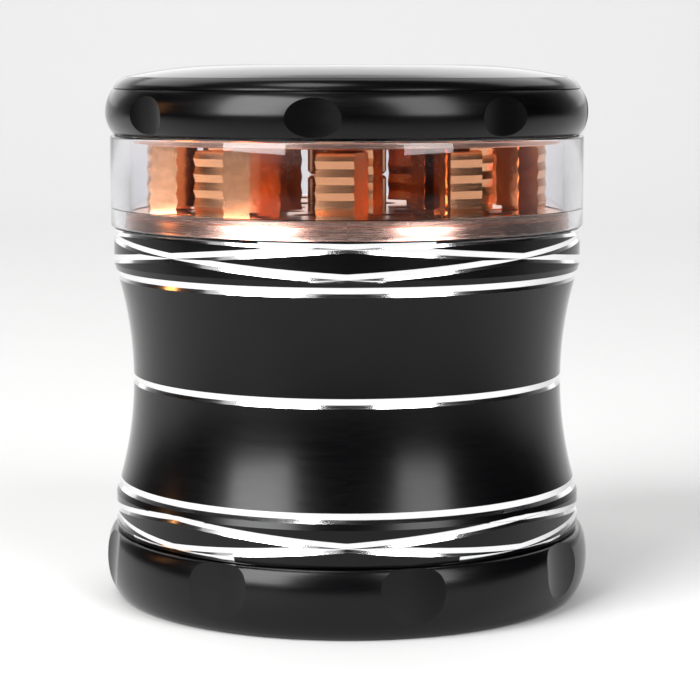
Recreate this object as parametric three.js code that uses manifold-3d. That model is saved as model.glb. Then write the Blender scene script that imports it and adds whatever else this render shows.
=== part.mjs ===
// Hand-held herb and spice grinder, in millimetres, +Z up.
// The origin is the middle of the flat underside, where the grinder stands on a table.
// Four screwed and stacked units: base tray, waisted storage body, window chamber with its
// tooth plate, and lid. The units share the Z axis.
import * as THREE from "three";
import { mergeVertices } from "three/addons/utils/BufferGeometryUtils.js";
import Module from "manifold-3d";

const wasm = await Module();
wasm.setup();

// ---- driving dimensions -------------------------------------------------------------------
const SEGMENTS = 48; // facets around every turned piece
const FIT = 0.05; // gap between pieces that lie on each other
const RUNNING = 0.1; // gap between two units that turn on each other

const BASE_TOP = 9.0; // shoulder that the storage body stands on
const BODY_TOP = 48.85; // rim that carries the window chamber
const WINDOW_BOTTOM = BODY_TOP + RUNNING;
const WINDOW_TOP = 60.8;
const LID_TOP = 69.9;

const BASE_RIM_RADIUS = 32.05;
const LID_RIM_RADIUS = 31.72;
const BAND_RADIUS = 30.75; // the two straight bands of the storage body
const WAIST_RADIUS = 28.35;
const WINDOW_RADIUS = 31.1;

const BAND_HEIGHT = 4.7;
const BODY_BOTTOM = BASE_TOP + RUNNING;
const WAIST_Z = (BODY_BOTTOM + BODY_TOP) / 2;
const LOWER_CREASE_Z = BODY_BOTTOM + BAND_HEIGHT;
const UPPER_CREASE_Z = BODY_TOP - BAND_HEIGHT;
const RING_GROOVE_WIDTH = 1.2; // bright-cut V rings around the storage body
const RING_GROOVE_DEPTH = 0.35;
const RING_FROM_CREASE = 1.4; // groove centre, measured from the crease towards the waist

const THREAD_MALE_RADIUS = 27.0;
const THREAD_FEMALE_RADIUS = 27.5;
const COLLAR_INNER_RADIUS = 24.8;
const COLLAR_LENGTH = 4.2;
const COLLAR_CHAMFER = 0.4;
const STORAGE_BORE_RADIUS = 25.8;
const TRAY_FLOOR_Z = 2.0;
const TRAY_CORNER_RADIUS = 3.0;

const SCREEN_SEAT_Z = 17.0; // shoulder inside the body that the screen is pressed against
const SCREEN_SEAT_RADIUS = 26.6;
const SCREEN_THICKNESS = 0.3;
const SCREEN_RING_HEIGHT = 1.7;

const FLANGE_RADIUS = 29.2;
const CHAMBER_FLOOR_Z = 51.3;
const WINDOW_BORE_RADIUS = 28.5;
const WINDOW_LEDGE_Z = CHAMBER_FLOOR_Z + FIT;
const SKIRT_BOTTOM_Z = 43.4;

const LID_PLATE_Z = 59.75; // underside of the lid's tooth plate
const LID_PLATE_TOP_Z = 62.7;
const LID_PLATE_RADIUS = 28.2;
const LID_RECESS_RADIUS = 28.4;
const LID_CAVITY_RADIUS = 26.5;
const LID_CAVITY_TOP_Z = 67.0;
const LID_BOTTOM_Z = WINDOW_TOP + FIT;

const TOOTH_WIDTH = 4.6; // around the circle
const TOOTH_SKEW = 4; // degrees that a tooth's inner face leads its outer face
const CHAMBER_TOOTH_TOP_Z = 59.2;
const LID_TOOTH_TIP_Z = 51.8;
const TOOTH_ROOT_DEPTH = 0.5; // how far a tooth is rooted in its plate

const HUB_RADIUS = 5.2;
const HUB_GAP_Z = 55.2; // middle of the gap between the two hubs
const MAGNET_RADIUS = 3.5;
const MAGNET_THICKNESS = 2.0;
const MAGNET_POCKET_CLEARANCE = 0.1;
const CUT_OVERRUN = 1; // how far a cutting tool runs past the face it opens

const SCALLOP_COUNT = 8;
const SCALLOP_CUTTER_RADIUS = 16.6;
const SCALLOP_LEAN = 5; // degrees that the cutter leans towards the storage body
const CUTTER_LENGTH = 14;

// A front angle of 0 degrees faces -Y, and positive angles go towards +X.
const LID_SCALLOP_START = -7.4;
const BASE_SCALLOP_START = 14.8;

// radii of a row's inner and outer faces, number of teeth, front angle of the first tooth
const CHAMBER_TOOTH_ROWS = [
  { inner: 23.4, outer: 26.4, count: 10, start: -3.3 },
  { inner: 16.0, outer: 19.0, count: 8, start: 2 },
];
const LID_TOOTH_ROWS = [
  { inner: 19.7, outer: 22.7, count: 8, start: 2 },
  { inner: 12.3, outer: 15.3, count: 8, start: 3 },
];
// drop holes through the chamber floor: circle radius, hole radius, count, front angle of the first
const DROP_HOLE_ROWS = [
  { circle: 24.9, hole: 1.5, count: 10, start: 14.7 },
  { circle: 21.2, hole: 1.8, count: 12, start: 0 },
  { circle: 13.8, hole: 1.8, count: 8, start: 24.5 },
  { circle: 8.7, hole: 1.8, count: 6, start: 0 },
];
const HOLE_SEGMENTS = 10;

// ---- finishes ----------------------------------------------------------------------------
const blackAnodised = new THREE.MeshStandardMaterial({ color: 0x141416, roughness: 0.38, metalness: 0.9 });
const copperAnodised = new THREE.MeshStandardMaterial({ color: 0xd98a62, roughness: 0.28, metalness: 1.0 });
const clearAcrylic = new THREE.MeshStandardMaterial({
  color: 0xeeeaf4,
  roughness: 0.05,
  metalness: 0,
  transparent: true,
  opacity: 0.3,
});
const nickelPlate = new THREE.MeshStandardMaterial({ color: 0xb9b9b4, roughness: 0.25, metalness: 1.0 });
const stainless = new THREE.MeshStandardMaterial({ color: 0xa9a9a6, roughness: 0.35, metalness: 1.0 });
const nylon = new THREE.MeshStandardMaterial({ color: 0xeeece6, roughness: 0.5, metalness: 0 });

// ---- helpers -----------------------------------------------------------------------------
const radians = (degrees) => (degrees * Math.PI) / 180;

// Points on an elliptical arc in the (radius, height) plane, angles in degrees from +radius.
function arc(centreR, centreZ, semiR, semiZ, from, to, steps) {
  const points = [];
  for (let i = 0; i <= steps; i += 1) {
    const angle = radians(from + ((to - from) * i) / steps);
    points.push([centreR + semiR * Math.cos(angle), centreZ + semiZ * Math.sin(angle)]);
  }
  return points;
}

// Arc of a given radius from a to b. It bulges to the right of that way, away from the material.
function arcBetween(a, b, radius, steps) {
  const dr = b[0] - a[0];
  const dz = b[1] - a[1];
  const chord = Math.hypot(dr, dz);
  const toCentre = Math.sqrt(radius * radius - (chord * chord) / 4);
  const centreR = (a[0] + b[0]) / 2 - (dz / chord) * toCentre;
  const centreZ = (a[1] + b[1]) / 2 + (dr / chord) * toCentre;
  const start = Math.atan2(a[1] - centreZ, a[0] - centreR);
  let sweep = Math.atan2(b[1] - centreZ, b[0] - centreR) - start;
  sweep = Math.atan2(Math.sin(sweep), Math.cos(sweep));
  const points = [];
  for (let i = 0; i <= steps; i += 1) {
    const angle = start + (sweep * i) / steps;
    points.push([centreR + radius * Math.cos(angle), centreZ + radius * Math.sin(angle)]);
  }
  return points;
}

// A closed solid of manifold-3d from any closed three.js geometry.
function solidOf(geometry) {
  const plain = new THREE.BufferGeometry();
  plain.setAttribute("position", geometry.getAttribute("position").clone());
  if (geometry.index) plain.setIndex(geometry.index.clone());
  const merged = mergeVertices(plain, 1e-5);
  const index = merged.index.array;
  const triangles = [];
  for (let i = 0; i < index.length; i += 3) {
    const [a, b, c] = [index[i], index[i + 1], index[i + 2]];
    if (a !== b && b !== c && c !== a) triangles.push(a, b, c);
  }
  return new wasm.Manifold(
    new wasm.Mesh({
      numProp: 3,
      vertProperties: new Float32Array(merged.getAttribute("position").array),
      triVerts: new Uint32Array(triangles),
    }),
  );
}

// A three.js geometry from a manifold-3d solid.
function geometryOf(solid) {
  const mesh = solid.getMesh();
  const geometry = new THREE.BufferGeometry();
  geometry.setAttribute("position", new THREE.BufferAttribute(new Float32Array(mesh.vertProperties), 3));
  geometry.setIndex(new THREE.BufferAttribute(new Uint32Array(mesh.triVerts), 1));
  geometry.computeVertexNormals();
  return geometry;
}

// Turns an outline of [radius, height] points about Z. The outline has the material on its
// left, and it starts and ends on the axis or closes on itself.
function turned(outline, segments = SEGMENTS) {
  const points = outline.map(([r, z]) => new THREE.Vector2(r, z));
  const onAxis = outline[0][0] === 0;
  if (!onAxis) points.push(points[0].clone());
  const lathe = new THREE.LatheGeometry(points, segments);
  lathe.rotateX(Math.PI / 2);
  return solidOf(lathe);
}

function disc(radius, bottom, top, segments = SEGMENTS) {
  return turned([[0, bottom], [radius, bottom], [radius, top], [0, top]], segments);
}

function washer(inner, outer, bottom, top) {
  return turned([[inner, bottom], [outer, bottom], [outer, top], [inner, top]]);
}

function joined(solids) {
  return solids.reduce((whole, piece) => whole.add(piece));
}

function cut(solid, tools) {
  return tools.reduce((rest, tool) => rest.subtract(tool), solid);
}

// The point at a front angle on a circle around Z.
function aroundAxis(radius, frontAngle) {
  const angle = radians(frontAngle);
  return new THREE.Vector2(radius * Math.sin(angle), -radius * Math.cos(angle));
}

function ringOf(count, start, make) {
  return Array.from({ length: count }, (unused, i) => make(start + (i * 360) / count));
}

// One skewed tooth: outer and inner faces lie on circles about Z, both sides are flat.
function tooth(row, frontAngle, bottom, top) {
  const outline = new THREE.Shape();
  const corners = [];
  const halfOuter = ((TOOTH_WIDTH / 2 / row.outer) * 180) / Math.PI;
  const halfInner = ((TOOTH_WIDTH / 2 / row.inner) * 180) / Math.PI;
  for (const step of [-1, 0, 1]) corners.push(aroundAxis(row.outer, frontAngle + step * halfOuter));
  for (const step of [1, 0, -1]) {
    corners.push(aroundAxis(row.inner, frontAngle + TOOTH_SKEW + step * halfInner));
  }
  outline.setFromPoints(corners);
  const prism = new THREE.ExtrudeGeometry(outline, { depth: top - bottom, bevelEnabled: false });
  prism.translate(0, 0, bottom);
  return solidOf(prism);
}

function teeth(rows, bottom, top) {
  return rows.flatMap((row) => ringOf(row.count, row.start, (angle) => tooth(row, angle, bottom, top)));
}

function dropHoles() {
  const bore = (row, angle) => {
    const centre = aroundAxis(row.circle, angle);
    const cylinder = new THREE.CylinderGeometry(row.hole, row.hole, CHAMBER_FLOOR_Z, HOLE_SEGMENTS);
    cylinder.rotateX(Math.PI / 2);
    cylinder.translate(centre.x, centre.y, CHAMBER_FLOOR_Z);
    return solidOf(cylinder);
  };
  return DROP_HOLE_ROWS.flatMap((row) => ringOf(row.count, row.start, (angle) => bore(row, angle)));
}

// Finger scallops: a large upright cutter that leans by lean degrees (positive: top outwards),
// whose near side stands at wallRadius at the height centreZ.
function scallops(start, wallRadius, centreZ, lean) {
  return ringOf(SCALLOP_COUNT, start, (angle) => {
    const cutter = new THREE.CylinderGeometry(
      SCALLOP_CUTTER_RADIUS,
      SCALLOP_CUTTER_RADIUS,
      CUTTER_LENGTH,
      SEGMENTS,
    );
    cutter.rotateX(Math.PI / 2);
    cutter.translate(0, -SCALLOP_CUTTER_RADIUS, 0);
    cutter.rotateX(radians(lean));
    cutter.translate(0, -wallRadius, centreZ);
    cutter.rotateZ(radians(angle));
    return solidOf(cutter);
  });
}

function mesh(name, solid, material) {
  const piece = new THREE.Mesh(geometryOf(solid), material);
  piece.name = name;
  return piece;
}

// ---- base unit ---------------------------------------------------------------------------
function baseTray() {
  const footRadius = 29.6;
  const bellyZ = 5.1;
  const shoulderRadius = 30.9;
  const collarTop = BASE_TOP + COLLAR_LENGTH;
  const outline = [
    [0, 0],
    ...arc(footRadius, bellyZ, BASE_RIM_RADIUS - footRadius, bellyZ, -90, 0, 6),
    ...arc(shoulderRadius, bellyZ, BASE_RIM_RADIUS - shoulderRadius, BASE_TOP - bellyZ, 0, 90, 5).slice(1),
    [THREAD_MALE_RADIUS, BASE_TOP],
    [THREAD_MALE_RADIUS, collarTop - COLLAR_CHAMFER],
    [THREAD_MALE_RADIUS - COLLAR_CHAMFER, collarTop],
    [COLLAR_INNER_RADIUS, collarTop],
    ...arc(
      COLLAR_INNER_RADIUS - TRAY_CORNER_RADIUS,
      TRAY_FLOOR_Z + TRAY_CORNER_RADIUS,
      TRAY_CORNER_RADIUS,
      TRAY_CORNER_RADIUS,
      0,
      -90,
      4,
    ),
    [0, TRAY_FLOOR_Z],
  ];
  const wallRadius = 31.27;
  const scallopZ = 5.5;
  const solid = cut(turned(outline), scallops(BASE_SCALLOP_START, wallRadius, scallopZ, -SCALLOP_LEAN));
  return mesh("base_tray", solid, blackAnodised);
}

// ---- storage unit ------------------------------------------------------------------------
// Radius of the waisted outside at height z: an arc between the two creases.
const WAIST_RISE = BAND_RADIUS - WAIST_RADIUS;
const WAIST_HALF = WAIST_Z - LOWER_CREASE_Z;
const WAIST_ARC = (WAIST_HALF ** 2 + WAIST_RISE ** 2) / (2 * WAIST_RISE);
function waistRadiusAt(z) {
  return WAIST_RADIUS + WAIST_ARC - Math.sqrt(WAIST_ARC ** 2 - (z - WAIST_Z) ** 2);
}

function waistStretch(from, to, steps) {
  return Array.from({ length: steps + 1 }, (unused, i) => {
    const z = from + ((to - from) * i) / steps;
    return [waistRadiusAt(z), z];
  });
}

function storageBody() {
  const half = RING_GROOVE_WIDTH / 2;
  const lowerRing = LOWER_CREASE_Z + RING_FROM_CREASE;
  const upperRing = UPPER_CREASE_Z - RING_FROM_CREASE;
  const grooveFloor = (z) => [waistRadiusAt(z) - RING_GROOVE_DEPTH, z];
  const edge = 0.25;
  const upperThreadEnd = SKIRT_BOTTOM_Z - 0.6;
  const lowerThreadEnd = BODY_BOTTOM + COLLAR_LENGTH + 0.8;
  const boreChamfer = 1.4;
  const seatTop = SCREEN_SEAT_Z + 1.4; // the seat is a ledge this far below its top
  const seatChamfer = 1.0;
  const outline = [
    [THREAD_FEMALE_RADIUS, BODY_BOTTOM],
    [BAND_RADIUS - edge, BODY_BOTTOM],
    [BAND_RADIUS, BODY_BOTTOM + edge],
    [BAND_RADIUS, LOWER_CREASE_Z],
    [waistRadiusAt(lowerRing - half), lowerRing - half],
    grooveFloor(lowerRing),
    ...waistStretch(lowerRing + half, WAIST_Z - half, 4),
    grooveFloor(WAIST_Z),
    ...waistStretch(WAIST_Z + half, upperRing - half, 4),
    grooveFloor(upperRing),
    [waistRadiusAt(upperRing + half), upperRing + half],
    [BAND_RADIUS, UPPER_CREASE_Z],
    [BAND_RADIUS, BODY_TOP - edge],
    [BAND_RADIUS - edge, BODY_TOP],
    [THREAD_FEMALE_RADIUS, BODY_TOP],
    [THREAD_FEMALE_RADIUS, upperThreadEnd],
    [STORAGE_BORE_RADIUS, upperThreadEnd - boreChamfer],
    [STORAGE_BORE_RADIUS, seatTop + seatChamfer],
    [COLLAR_INNER_RADIUS, seatTop],
    [COLLAR_INNER_RADIUS, SCREEN_SEAT_Z],
    [SCREEN_SEAT_RADIUS, SCREEN_SEAT_Z],
    [SCREEN_SEAT_RADIUS, lowerThreadEnd],
    [THREAD_FEMALE_RADIUS, lowerThreadEnd],
  ];
  return mesh("storage_body", turned(outline), blackAnodised);
}

function screenMesh() {
  const top = SCREEN_SEAT_Z - FIT;
  const solid = disc(SCREEN_SEAT_RADIUS - 2 * FIT, top - SCREEN_THICKNESS, top);
  return mesh("screen_mesh", solid, stainless);
}

function screenRing() {
  const top = SCREEN_SEAT_Z - 2 * FIT - SCREEN_THICKNESS;
  const solid = washer(COLLAR_INNER_RADIUS, SCREEN_SEAT_RADIUS - FIT, top - SCREEN_RING_HEIGHT, top);
  return mesh("screen_ring", solid, stainless);
}

// ---- window chamber unit -----------------------------------------------------------------
function chamberToothPlate() {
  const rimLine = 50.6; // fine line turned into the flange
  const lineDepth = 0.12;
  const lineHalf = 0.12;
  const plate = turned([
    [0, WINDOW_BOTTOM],
    [COLLAR_INNER_RADIUS, WINDOW_BOTTOM],
    [COLLAR_INNER_RADIUS, SKIRT_BOTTOM_Z],
    [THREAD_MALE_RADIUS - COLLAR_CHAMFER, SKIRT_BOTTOM_Z],
    [THREAD_MALE_RADIUS, SKIRT_BOTTOM_Z + COLLAR_CHAMFER],
    [THREAD_MALE_RADIUS, WINDOW_BOTTOM],
    [FLANGE_RADIUS, WINDOW_BOTTOM],
    [FLANGE_RADIUS, rimLine - lineHalf],
    [FLANGE_RADIUS - lineDepth, rimLine],
    [FLANGE_RADIUS, rimLine + lineHalf],
    [FLANGE_RADIUS, CHAMBER_FLOOR_Z],
    [0, CHAMBER_FLOOR_Z],
  ]);
  const hubTop = HUB_GAP_Z - RUNNING;
  const hub = disc(HUB_RADIUS, CHAMBER_FLOOR_Z - TOOTH_ROOT_DEPTH, hubTop, SEGMENTS / 2);
  const rows = teeth(CHAMBER_TOOTH_ROWS, CHAMBER_FLOOR_Z - TOOTH_ROOT_DEPTH, CHAMBER_TOOTH_TOP_Z);
  const pocket = magnetPocket(hubTop - MAGNET_THICKNESS - MAGNET_POCKET_CLEARANCE, hubTop + CUT_OVERRUN);
  const solid = cut(joined([plate, hub, ...rows]), [pocket, ...dropHoles()]);
  return mesh("chamber_tooth_plate", solid, copperAnodised);
}

function magnetPocket(bottom, top) {
  return disc(MAGNET_RADIUS + MAGNET_POCKET_CLEARANCE, bottom, top, SEGMENTS / 2);
}

function magnet(name, bottom) {
  return mesh(name, disc(MAGNET_RADIUS, bottom, bottom + MAGNET_THICKNESS, SEGMENTS / 2), nickelPlate);
}

function windowRing() {
  const bevel = 0.3;
  const counterbore = FLANGE_RADIUS + 0.1;
  const solid = turned([
    [counterbore, WINDOW_BOTTOM],
    [WINDOW_RADIUS - bevel, WINDOW_BOTTOM],
    [WINDOW_RADIUS, WINDOW_BOTTOM + bevel],
    [WINDOW_RADIUS, WINDOW_TOP - bevel],
    [WINDOW_RADIUS - bevel, WINDOW_TOP],
    [WINDOW_BORE_RADIUS, WINDOW_TOP],
    [WINDOW_BORE_RADIUS, WINDOW_LEDGE_Z],
    [counterbore, WINDOW_LEDGE_Z],
  ]);
  return mesh("window_ring", solid, clearAcrylic);
}

// ---- lid unit ----------------------------------------------------------------------------
const FRICTION_RING = { inner: 29.0, outer: 30.1, height: 0.5 };

function lidCap() {
  const bellyZ = 64.3;
  const lowerArcRadius = 5.87;
  const upperArcRadius = 3.46;
  const seamZ = 66.8; // fine turned line between the rim and the crown
  const seamDepth = 0.15;
  const seamHalf = 0.12;
  const seamStep = 0.1; // the shoulder above the line stands this far back
  const shoulderArcRadius = 3;
  const crownEdge = [29.3, 68.3];
  const crownFlatRadius = 15;
  const crownFall = LID_TOP - crownEdge[1];
  const crownReach = crownEdge[0] - crownFlatRadius;
  const crownRadius = (crownReach ** 2 + crownFall ** 2) / (2 * crownFall);
  const lowerAngle = (-Math.asin((bellyZ - LID_BOTTOM_Z) / lowerArcRadius) * 180) / Math.PI;
  const upperAngle = (Math.asin((seamZ - seamHalf - bellyZ) / upperArcRadius) * 180) / Math.PI;
  const lowerCentre = LID_RIM_RADIUS - lowerArcRadius;
  const upperCentre = LID_RIM_RADIUS - upperArcRadius;
  const lower = arc(lowerCentre, bellyZ, lowerArcRadius, lowerArcRadius, lowerAngle, 0, 5);
  const upper = arc(upperCentre, bellyZ, upperArcRadius, upperArcRadius, 0, upperAngle, 4);
  const seamRadius = upper[upper.length - 1][0];
  const grooveTop = LID_BOTTOM_Z + FRICTION_RING.height;
  const outline = [
    [0, LID_CAVITY_TOP_Z],
    [LID_CAVITY_RADIUS, LID_CAVITY_TOP_Z],
    [LID_CAVITY_RADIUS, LID_PLATE_TOP_Z + FIT],
    [LID_RECESS_RADIUS, LID_PLATE_TOP_Z + FIT],
    [LID_RECESS_RADIUS, LID_BOTTOM_Z],
    [FRICTION_RING.inner - FIT, LID_BOTTOM_Z],
    [FRICTION_RING.inner - FIT, grooveTop],
    [FRICTION_RING.outer + FIT, grooveTop],
    [FRICTION_RING.outer + FIT, LID_BOTTOM_Z],
    ...lower,
    ...upper.slice(1),
    [seamRadius - seamDepth - seamHalf, seamZ],
    ...arcBetween([seamRadius - seamStep, seamZ + seamHalf], crownEdge, shoulderArcRadius, 4),
    ...arcBetween(crownEdge, [crownFlatRadius, LID_TOP], crownRadius, 4).slice(1),
    [0, LID_TOP],
  ];
  const wallRadius = 31.05;
  const scallopZ = 63.9;
  const solid = cut(turned(outline), scallops(LID_SCALLOP_START, wallRadius, scallopZ, SCALLOP_LEAN));
  return mesh("lid_cap", solid, blackAnodised);
}

function lidToothPlate() {
  const plate = disc(LID_PLATE_RADIUS, LID_PLATE_Z, LID_PLATE_TOP_Z);
  const hubBottom = HUB_GAP_Z + RUNNING;
  const hub = disc(HUB_RADIUS, hubBottom, LID_PLATE_Z + TOOTH_ROOT_DEPTH, SEGMENTS / 2);
  const rows = teeth(LID_TOOTH_ROWS, LID_TOOTH_TIP_Z, LID_PLATE_Z + TOOTH_ROOT_DEPTH);
  const pocketRoof = hubBottom + MAGNET_THICKNESS + MAGNET_POCKET_CLEARANCE;
  const pocket = magnetPocket(hubBottom - CUT_OVERRUN, pocketRoof);
  const solid = joined([plate, hub, ...rows]).subtract(pocket);
  return mesh("lid_tooth_plate", solid, copperAnodised);
}

function lidFrictionRing() {
  const { inner, outer, height } = FRICTION_RING;
  const solid = washer(inner, outer, WINDOW_TOP + FIT / 2, WINDOW_TOP + FIT / 2 + height - FIT);
  return mesh("lid_friction_ring", solid, nylon);
}

// ---- assembly ----------------------------------------------------------------------------
function unit(...pieces) {
  const group = new THREE.Group();
  group.add(...pieces);
  return group;
}

const grinder = new THREE.Group();
grinder.add(
  unit(baseTray()),
  unit(storageBody(), screenMesh(), screenRing()),
  unit(
    chamberToothPlate(),
    magnet("chamber_magnet", HUB_GAP_Z - RUNNING - MAGNET_THICKNESS),
    windowRing(),
  ),
  unit(lidCap(), lidToothPlate(), magnet("lid_magnet", HUB_GAP_Z + RUNNING), lidFrictionRing()),
);

export default grinder;
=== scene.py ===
# %% [markdown]
# # A four-part hand grinder
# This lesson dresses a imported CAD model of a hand-held herb grinder: a scalloped base tray, a waisted
# storage body, a clear window chamber with a copper tooth plate, and a lid with a second tooth plate.
# The CAD model fixes every size, body and joint. Here each piece gets its fine shape and its finish.

# %% Load the frame
import math
import bmesh
import bpy
from mathutils import Matrix, Vector


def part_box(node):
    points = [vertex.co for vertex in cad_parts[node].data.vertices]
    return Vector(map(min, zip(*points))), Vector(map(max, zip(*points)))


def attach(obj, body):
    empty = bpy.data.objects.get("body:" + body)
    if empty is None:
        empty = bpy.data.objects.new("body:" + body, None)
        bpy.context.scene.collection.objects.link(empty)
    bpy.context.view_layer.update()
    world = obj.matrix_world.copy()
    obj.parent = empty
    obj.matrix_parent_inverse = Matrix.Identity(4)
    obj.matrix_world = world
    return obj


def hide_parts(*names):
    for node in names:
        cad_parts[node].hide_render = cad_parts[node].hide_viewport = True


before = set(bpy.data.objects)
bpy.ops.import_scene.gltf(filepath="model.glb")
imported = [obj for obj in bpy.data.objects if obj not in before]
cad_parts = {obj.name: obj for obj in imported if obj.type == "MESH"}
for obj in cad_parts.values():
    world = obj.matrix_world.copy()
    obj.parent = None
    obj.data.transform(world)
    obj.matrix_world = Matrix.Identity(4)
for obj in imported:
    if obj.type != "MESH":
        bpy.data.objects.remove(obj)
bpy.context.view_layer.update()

# %% [markdown]
# All sizes below are in millimetres, because that is how a machinist reads a grinder, and every mesh is
# scaled to metres at the moment it is made. Heights and outer radii come from the CAD nodes.

# %% Sizes that the frame gives
MM = 0.001


def span(node):
    low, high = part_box(node)
    return low.z / MM, high.z / MM, high.x / MM


TRAY_BOTTOM, COLLAR_TOP, BASE_RIM_RADIUS = span("base_tray")
BODY_BOTTOM, BODY_TOP, BAND_RADIUS = span("storage_body")
WINDOW_BOTTOM, WINDOW_TOP, WINDOW_RADIUS = span("window_ring")
LID_BOTTOM, LID_TOP, LID_RIM_RADIUS = span("lid_cap")
SKIRT_BOTTOM, CHAMBER_TOOTH_TOP, FLANGE_RADIUS = span("chamber_tooth_plate")
LID_TOOTH_TIP, LID_PLATE_TOP, LID_PLATE_RADIUS = span("lid_tooth_plate")
SCREEN_BOTTOM, SCREEN_TOP, SCREEN_RADIUS = span("screen_mesh")
print("height", round(LID_TOP, 2), "mm, base rim", round(2 * BASE_RIM_RADIUS, 2), "mm across")

# %% [markdown]
# A turned piece is an outline spun around an axis, so the first helper does what a lathe does. The
# outline keeps its material on its left and either closes on itself or starts and ends on the axis.
# A spin of quads is chosen over Blender's Screw modifier because it leaves one closed mesh to cut into.

# %% Outline and lathe helpers
STEPS = 288  # facets around a large turned piece


def arc(centre, radii, start, end, steps=16):
    points = []
    for i in range(steps + 1):
        angle = math.radians(start + (end - start) * i / steps)
        points.append((centre[0] + radii[0] * math.cos(angle), centre[1] + radii[1] * math.sin(angle)))
    return points


def arc_between(a, b, radius, steps=16):
    # The arc bulges to the right of the way from a to b, which is away from the material.
    chord = math.dist(a, b)
    ur, uz = (b[0] - a[0]) / chord, (b[1] - a[1]) / chord
    to_centre = math.sqrt(radius**2 - chord**2 / 4)
    centre = ((a[0] + b[0]) / 2 - uz * to_centre, (a[1] + b[1]) / 2 + ur * to_centre)
    start = math.degrees(math.atan2(a[1] - centre[1], a[0] - centre[0]))
    end = math.degrees(math.atan2(b[1] - centre[1], b[0] - centre[0]))
    sweep = (end - start + 180) % 360 - 180
    return arc(centre, (radius, radius), start, start + sweep, steps)


def new_piece(name, points, faces):
    # A closed mesh whose volume comes out negative is inside out, so its faces are turned round.
    mesh = bpy.data.meshes.new(name)
    mesh.from_pydata([(x * MM, y * MM, z * MM) for x, y, z in points], [], faces)
    solid = bmesh.new()
    solid.from_mesh(mesh)
    if solid.calc_volume(signed=True) < 0:
        bmesh.ops.reverse_faces(solid, faces=solid.faces)
        solid.to_mesh(mesh)
    solid.free()
    piece = bpy.data.objects.new(name, mesh)
    bpy.context.scene.collection.objects.link(piece)
    return piece


def turned(name, outline, steps=STEPS):
    rings, points = [], []
    for radius, height in outline:
        count = 1 if radius < 1e-6 else steps
        rings.append([len(points) + i for i in range(count)])
        for i in range(count):
            angle = 2 * math.pi * i / steps
            points.append((radius * math.sin(angle), -radius * math.cos(angle), height))
    pairs = list(zip(rings, rings[1:]))
    if outline[0][0] > 1e-6:
        pairs.append((rings[-1], rings[0]))
    faces = []
    for lower, upper in pairs:
        for i in range(steps):
            j = (i + 1) % steps
            if len(lower) == 1 and len(upper) == 1:
                continue
            if len(lower) == 1:
                faces.append((lower[0], upper[j], upper[i]))
            elif len(upper) == 1:
                faces.append((lower[i], lower[j], upper[0]))
            else:
                faces.append((lower[i], lower[j], upper[j], upper[i]))
    return new_piece(name, points, faces)


def disc(name, radius, bottom, top, steps=STEPS, edge=0.1):
    return turned(
        name,
        [
            (0, bottom),
            (radius - edge, bottom),
            (radius, bottom + edge),
            (radius, top - edge),
            (radius - edge, top),
            (0, top),
        ],
        steps,
    )


# %% [markdown]
# Machined pieces are mostly cuts: grooves, scallops, holes and threads. Each cut is a Boolean with
# Blender's manifold solver, which stays exact and fast on closed meshes. Several tools that don't touch
# each other are joined first, so that one Boolean makes all of them.

# %% Cutting and joining helpers
def delete(piece):
    mesh = piece.data
    bpy.data.objects.remove(piece)
    bpy.data.meshes.remove(mesh)


def combine(piece, tool, operation):
    boolean = piece.modifiers.new("cut", "BOOLEAN")
    boolean.solver = "MANIFOLD"
    boolean.operation = operation
    boolean.object = tool
    bpy.context.view_layer.update()
    result = bpy.data.meshes.new_from_object(piece.evaluated_get(bpy.context.evaluated_depsgraph_get()))
    before = len(piece.data.polygons)
    old = piece.data
    piece.modifiers.clear()
    piece.data = result
    bpy.data.meshes.remove(old)
    result.name = piece.name
    delete(tool)
    print(piece.name, operation.lower(), before, "->", len(result.polygons), "faces")


def gather(name, tools):
    points, faces = [], []
    for tool in tools:
        start = len(points)
        points += [tuple(v.co / MM) for v in tool.data.vertices]
        faces += [[start + i for i in p.vertices] for p in tool.data.polygons]
        delete(tool)
    return new_piece(name, points, faces)


def front_point(radius, angle, height=0.0):
    # An angle of 0 faces the front (-Y), and positive angles go towards +X.
    turn = math.radians(angle)
    return (radius * math.sin(turn), -radius * math.cos(turn), height)


def swept(name, sections, closed=False):
    # Joins equal cross-sections into one tube. An open tube gets a cap at each end.
    size = len(sections[0])
    points = [point for section in sections for point in section]
    count = len(sections)
    faces = []
    for k in range(count if closed else count - 1):
        a, b = k * size, (k + 1) % count * size
        for i in range(size):
            j = (i + 1) % size
            faces.append((a + i, a + j, b + j, b + i))
    if not closed:
        faces.append(tuple(reversed(range(size))))
        faces.append(tuple(range((count - 1) * size, count * size)))
    return new_piece(name, points, faces)


# %% [markdown]
# A shop finishes a cut edge by breaking it, and the eye finds metal real by the clean change of light
# at that edge. Smooth shading with sharp edges above a small angle keeps turned faces round and edges
# crisp. It is done last on every piece, when all its cuts are in place.

# %% Finishing helper
EDGE_ANGLE = 11.0


def finish_piece(piece, body, node, materials, pick=None, edge_angle=EDGE_ANGLE):
    mesh = piece.data
    mesh.materials.clear()
    for material in materials:
        mesh.materials.append(material)
    for polygon in mesh.polygons:
        polygon.use_smooth = True
        polygon.material_index = pick(polygon) if pick else 0
    mesh.set_sharp_from_angle(angle=math.radians(edge_angle))
    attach(piece, body)
    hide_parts(node)
    print(piece.name, len(mesh.polygons), "faces, rides on", body)


# %% [markdown]
# ## Finishes
# Every finish here is a small tree of shader nodes. A node takes three or four lines of Python to place
# and join, so a few helpers do that, and a finish then reads like a formula.

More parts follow.
